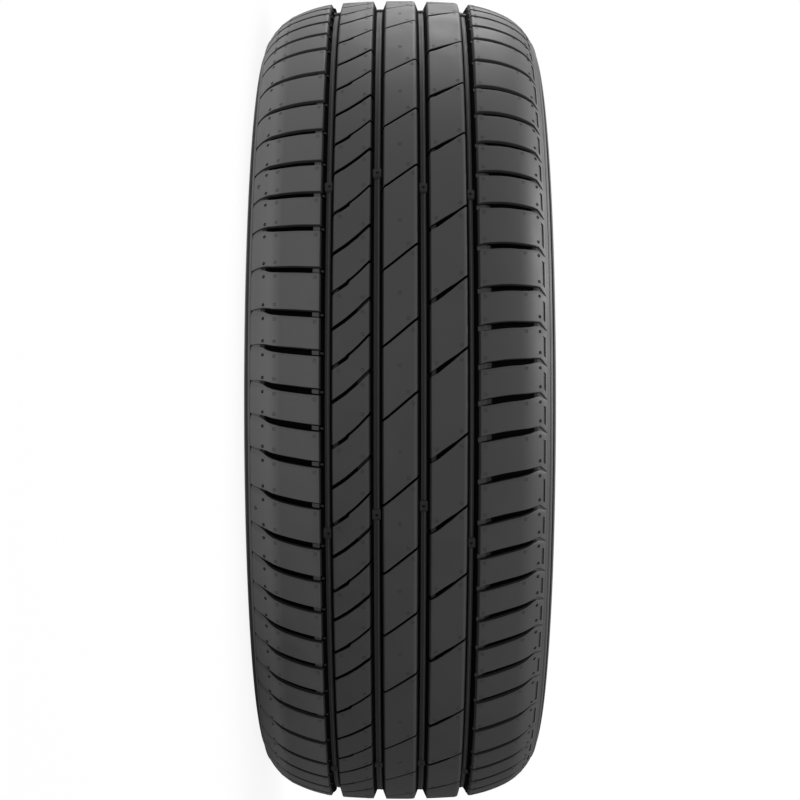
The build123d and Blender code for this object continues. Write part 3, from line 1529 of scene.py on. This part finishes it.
    def half_inside(self) -> list[Pair]:
        """Points of the hollow, from the bead's toe up to the crown.

        Returns:
            Place and radius of each point, on the upper side.
        """
        crown = self.section.tread_radius - self.crown_thickness
        wide = self.section.half_width - self.sidewall_thickness
        level = self.section.corner_centre[1]
        corner = crown - level
        toe = (self.half_bead - self.bead_base, self.bead_radius + self.toe)
        run, drop = wide - toe[0], level - toe[1]
        radius = (run * run + drop * drop) / (2 * run)
        wall = [
            (wide - radius + radius * math.cos(lean), level - radius * math.sin(lean))
            for lean in np.linspace(math.asin(drop / radius), 0, self.hollow_steps[0])
        ]
        bend = [
            (wide - corner + corner * math.cos(lean), level + corner * math.sin(lean))
            for lean in np.linspace(0, math.pi / 2, self.hollow_steps[1])[1:]
        ]
        return wall + bend

    def loop(self) -> list[tuple[float, float, Skin]]:
        """Closed section of the carcass.

        Returns:
            Place and radius of each point, and finish of the step after it.
        """
        inner = [(*point, Skin.WALL) for point in self.half_inside()]
        lower = [(-place, radius, skin) for place, radius, skin in self.half_sidewall(self.lower)]
        ring = [
            (*self.section.point(self.section.reach(place), -depth), skin)
            for place, depth, skin in self.floor()
        ]
        loop = lower[::-1] + ring + self.half_sidewall(self.upper) + inner
        return loop + [(-place, radius, skin) for place, radius, skin in inner[::-1]]

    def build(self) -> bpy.types.Object:
        """Turns the section round the axle.

        Returns:
            The piece.
        """
        steps = self.loop()
        place, radius = (np.array([step[:2] for step in steps]) * MM).T
        angles = np.linspace(0, 2 * math.pi, self.segments, endpoint=False)[:, None]
        across = np.broadcast_to(place, (self.segments, len(steps)))
        points = np.stack((np.cos(angles) * radius, np.sin(angles) * radius, across), axis=-1)
        mesh = bpy.data.meshes.new("carcass")
        mesh.from_pydata(points.reshape(-1, 3).tolist(), [], ring_faces(self.segments, len(steps)))
        for finish in self.finishes.values():
            mesh.materials.append(finish)
        skins = list(self.finishes)
        numbers = [skins.index(skin) for _, _, skin in steps] * self.segments
        mesh.polygons.foreach_set("material_index", numbers)
        return join("carcass", [mesh], 32.0)


# The shoulders' gloss is set out over this distance to each side of the middle. It also makes the shade
# paler, a painted sheen: the shade is multiplied by the gloss times the first number plus the second.
GLOSS_REACH = 100.0
GLOSS_TO_PAINTED_SHEEN = (3.6, -0.62)

# Range of the noise that the mottle follows, and the change in roughness that goes with it
CLOUD_RANGE = (0.3, 0.7)
CLOUD_ROUGHNESS = 0.05


@dataclass(frozen=True)
class RubberFinish:
    """A moulded rubber: dark, with a faint mottle and a fine grain.

    Its shoulders, if any, give places across the tyre and the gloss there; the gloss also makes the shade
    paler, a painted sheen.
    """

    skin: Skin
    shade: float
    mottle: float
    roughness: float
    grain: float
    grain_scale: float
    shine: float = 0.45
    shoulders: tuple[Pair, ...] = ()

    def gloss_and_painted_sheen(self, tree: NodeTree, place: bpy.types.NodeSocket) -> bpy.types.NodeSocket:
        """Adds the nodes for the gloss across the tyre, which also drives a painted sheen.

        Args:
            tree: the material's tree.
            place: socket of the object's coordinates.

        Returns:
            The gloss.
        """
        reach = GLOSS_REACH * MM
        across = tree.span(tree.split(place)["Z"], (-reach, reach), (0.0, 1.0))
        ramp = tree.node("ShaderNodeValToRGB", Fac=across)
        stops = ramp.color_ramp.elements
        for stop, (side, level) in enumerate(self.shoulders):
            if stop >= len(stops):
                stops.new(1.0)
            stops[stop].position = 0.5 + side / (2 * GLOSS_REACH)
            stops[stop].color = (level, level, level, 1.0)
        return ramp.outputs["Color"]

    def material(self) -> bpy.types.Material:
        """Makes the finish's material from nodes.

        Returns:
            The material.
        """
        made = bpy.data.materials.new(self.skin.value)
        made.use_nodes = True
        tree = NodeTree(made.node_tree)
        rubber = made.node_tree.nodes["Principled BSDF"].inputs
        rubber["Specular IOR Level"].default_value = self.shine
        place = tree.node("ShaderNodeTexCoord").outputs["Object"]
        cloud = tree.node("ShaderNodeTexNoise", Vector=place, Scale=38.0, Detail=5.0, Roughness=0.6)
        mottle, rough = self.shade * self.mottle, self.roughness
        shades = (self.shade - mottle, self.shade + mottle)
        shade = tree.span(cloud.outputs["Fac"], CLOUD_RANGE, shades)
        if self.shoulders:
            gloss = self.gloss_and_painted_sheen(tree, place)
            tree.put(rubber["Specular IOR Level"], gloss)
            # The gloss also makes the shade paler on the shoulders: a painted sheen
            shade = tree.math("MULTIPLY", shade, tree.math("MULTIPLY_ADD", gloss, *GLOSS_TO_PAINTED_SHEEN))
        colour = tree.node("ShaderNodeCombineColor", Red=shade, Green=shade, Blue=shade)
        tree.put(rubber["Base Color"], colour.outputs["Color"])
        rough_range = (rough - CLOUD_ROUGHNESS, rough + CLOUD_ROUGHNESS)
        tree.put(rubber["Roughness"], tree.span(cloud.outputs["Fac"], CLOUD_RANGE, rough_range))
        grain = tree.node("ShaderNodeTexNoise", Vector=place, Scale=self.grain_scale, Detail=3.0)
        height = grain.outputs["Fac"]
        bump = tree.node("ShaderNodeBump", Height=height, Strength=self.grain, Distance=0.2 * MM)
        tree.put(rubber["Normal"], bump.outputs["Normal"])
        return made


# Gloss across the tyre, highest on the lower shoulder, which also pales the shade there: partly real gloss,
# partly a painted sheen
SHOULDER_GLOSS_AND_PAINTED_SHEEN = (
    (-99.0, 0.82),
    (-92.0, 0.97),
    (-87.0, 1.0),
    (-83.0, 0.84),
    (-79.0, 0.68),
    (-56.0, 0.68),
    (-48.0, 0.47),
    (80.0, 0.45),
    (88.0, 0.55),
)
# The finishes of painted shade are darker than the tread rubber, and that of painted highlight is lighter
FINISHES = (
    RubberFinish(Skin.TREAD, 0.024, 0.12, 0.55, 0.1, 1400.0, shoulders=SHOULDER_GLOSS_AND_PAINTED_SHEEN),
    RubberFinish(Skin.EDGE, 0.02, 0.12, 0.58, 0.1, 1400.0, shoulders=SHOULDER_GLOSS_AND_PAINTED_SHEEN),
    RubberFinish(Skin.FLOOR, 0.015, 0.1, 0.6, 0.1, 1400.0, 0.27),
    RubberFinish(Skin.LINE, 0.03, 0.1, 0.55, 0.1, 1400.0, 0.52),
    RubberFinish(Skin.PAINTED_DEEP_SHADE, 0.002, 0.1, 0.8, 0.05, 1400.0, 0.05),
    RubberFinish(Skin.WALL, 0.022, 0.1, 0.55, 0.08, 1800.0, 0.5),
)


@dataclass(frozen=True)
class Lamp:
    """A soft box that faces the tyre."""

    name: str
    place: Triple
    size: Pair
    power: float

    def build(self) -> bpy.types.Object:
        """Makes the lamp.

        Returns:
            The lamp's object.
        """
        data = bpy.data.lights.new(self.name, "AREA")
        data.shape = "RECTANGLE"
        data.size, data.size_y = self.size
        data.energy = self.power
        lamp = bpy.data.objects.new(self.name, data)
        direction = np.array(self.place) / np.linalg.norm(self.place)
        helper = (0.0, 0.0, 1.0) if abs(direction[2]) < 0.9 else (1.0, 0.0, 0.0)
        right = np.cross(helper, direction)
        right /= np.linalg.norm(right)
        back = Matrix((right, np.cross(direction, right), direction)).transposed()
        lamp.matrix_world = Matrix.Translation(self.place) @ back.to_4x4()
        bpy.context.scene.collection.objects.link(lamp)
        return lamp


@dataclass
class Studio:
    """Floor, lamps, surroundings and camera.

    The floor's reflection in the tyre fades along X. The room is darkest in one direction.
    """

    floor_height: float
    floor_reach: float = 6.0
    floor_shade: float = 0.82
    floor_glow: float = 0.9
    floor_fade: tuple[Pair, Pair] = ((-0.02, 0.2), (1.0, 0.2))
    room_dark: Triple = (0.7, 0.7, 0.0)
    room_fade: tuple[Pair, Pair] = ((0.3, 1.0), (0.94, 0.2))
    camera_distance: float = 1.646
    lens: float = 91.8
    lamps: tuple[Lamp, ...] = (
        Lamp("key", (-2.05, 1.2, 0.0), (1.6, 1.6), 32.0),
        Lamp("overhead", (-0.6, 0.3, 1.75), (1.4, 1.0), 25.0),
    )

    def floor_paint(self) -> bpy.types.Material:
        """Makes a pale paint that keeps a soft shadow and is white in the background. In the tyre's
        reflections it glows, a painted reflection that fades along X.

        Returns:
            The material.
        """
        finish = bpy.data.materials.new("floor_paint")
        finish.use_nodes = True
        tree, nodes = NodeTree(finish.node_tree), finish.node_tree.nodes
        paint = nodes["Principled BSDF"]
        paint.inputs["Base Color"].default_value = (*[self.floor_shade] * 3, 1.0)
        paint.inputs["Roughness"].default_value = 0.9
        rays = tree.node("ShaderNodeLightPath").outputs
        place = tree.node("ShaderNodeTexCoord").outputs["Object"]
        fade = tree.span(tree.split(place)["X"], *self.floor_fade)
        level = tree.math("MAXIMUM", rays["Is Camera Ray"], fade)
        glow = tree.node("ShaderNodeEmission", Strength=level)
        share = tree.math("MULTIPLY_ADD", rays["Is Camera Ray"], self.floor_glow, rays["Is Glossy Ray"])
        mix = tree.node("ShaderNodeMixShader")
        mixed = tree.fill(mix, share, paint.outputs["BSDF"], glow.outputs["Emission"])
        tree.put(nodes["Material Output"].inputs["Surface"], mixed)
        return finish

    def floor(self) -> bpy.types.Object:
        """Makes a wide floor under the tyre.

        Returns:
            The floor's object.
        """
        mesh = bpy.data.meshes.new("floor")
        reach = self.floor_reach
        corners = ((-reach, -reach), (reach, -reach), (reach, reach), (-reach, reach))
        mesh.from_pydata([(*corner, self.floor_height) for corner in corners], [], [(0, 1, 2, 3)])
        mesh.materials.append(self.floor_paint())
        thing = bpy.data.objects.new("floor", mesh)
        bpy.context.scene.collection.objects.link(thing)
        thing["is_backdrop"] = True
        return thing

    def surroundings(self) -> None:
        """A white backdrop, with light that comes mostly from one end of the room."""
        world = bpy.data.worlds.new("studio")
        world.use_nodes = True
        bpy.context.scene.world = world
        world.node_tree.nodes.clear()
        tree = NodeTree(world.node_tree)
        place = tree.node("ShaderNodeTexCoord").outputs["Generated"]
        dark = tree.node("ShaderNodeVectorMath", operation="DOT_PRODUCT")
        tree.fill(dark, place, self.room_dark)
        slope = tree.node("ShaderNodeMapRange", interpolation_type="SMOOTHSTEP")
        before, after = self.room_fade
        level = tree.fill(slope, dark.outputs["Value"], *before, *after)
        white = (1.0, 1.0, 1.0, 1.0)
        room = tree.node("ShaderNodeBackground", Color=white, Strength=level)
        backdrop = tree.node("ShaderNodeBackground", Color=white, Strength=1.0)
        rays = tree.node("ShaderNodeLightPath").outputs
        mix = tree.node("ShaderNodeMixShader")
        mixed = tree.fill(mix, rays["Is Camera Ray"], room.outputs[0], backdrop.outputs[0])
        tree.node("ShaderNodeOutputWorld", Surface=mixed)

    def camera(self) -> bpy.types.Object:
        """Sets a level camera in front of the tread, turned so that the axle runs across the picture.

        Returns:
            The camera's object.
        """
        data = bpy.data.cameras.new("camera")
        data.sensor_width = 36.0
        data.lens = self.lens
        camera = bpy.data.objects.new("camera", data)
        right, up, back = (0, 0, 1), (-1, 0, 0), (0, -1, 0)
        turn = Matrix((right, up, back)).transposed().to_4x4()
        camera.matrix_world = Matrix.Translation((0, -self.camera_distance, 0)) @ turn
        bpy.context.scene.collection.objects.link(camera)
        bpy.context.scene.camera = camera
        return camera

    def build(self) -> None:
        """Sets the studio up."""
        bpy.context.scene.view_settings.view_transform = "Standard"
        self.floor()
        self.surroundings()
        for lamp in self.lamps:
            lamp.build()
        self.camera()


def main() -> None:
    """Builds the tyre's pieces on the frame and the studio round them, and logs each piece's triangle
    count.
    """
    logging.basicConfig(level=logging.INFO)
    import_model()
    solid_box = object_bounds()
    section, units = Section(), Units()
    finishes = {finish.skin: finish.material() for finish in FINISHES}
    roller = Roller(section, finishes)
    pieces = [Carcass(section, finishes).build()]
    pieces += Tread(section, units, roller).build()
    pieces += [Vents(section, units, roller).build(), SidewallBand(section, roller).build()]
    roller.clear()
    for piece in pieces:
        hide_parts("tyre")
        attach(piece, "root")
        piece.data.calc_loop_triangles()
        LOG.info("%s: %d triangles", piece.name, len(piece.data.loop_triangles))
    Studio(floor_height=solid_box[0][2]).build()


if __name__ == "__main__":
    main()
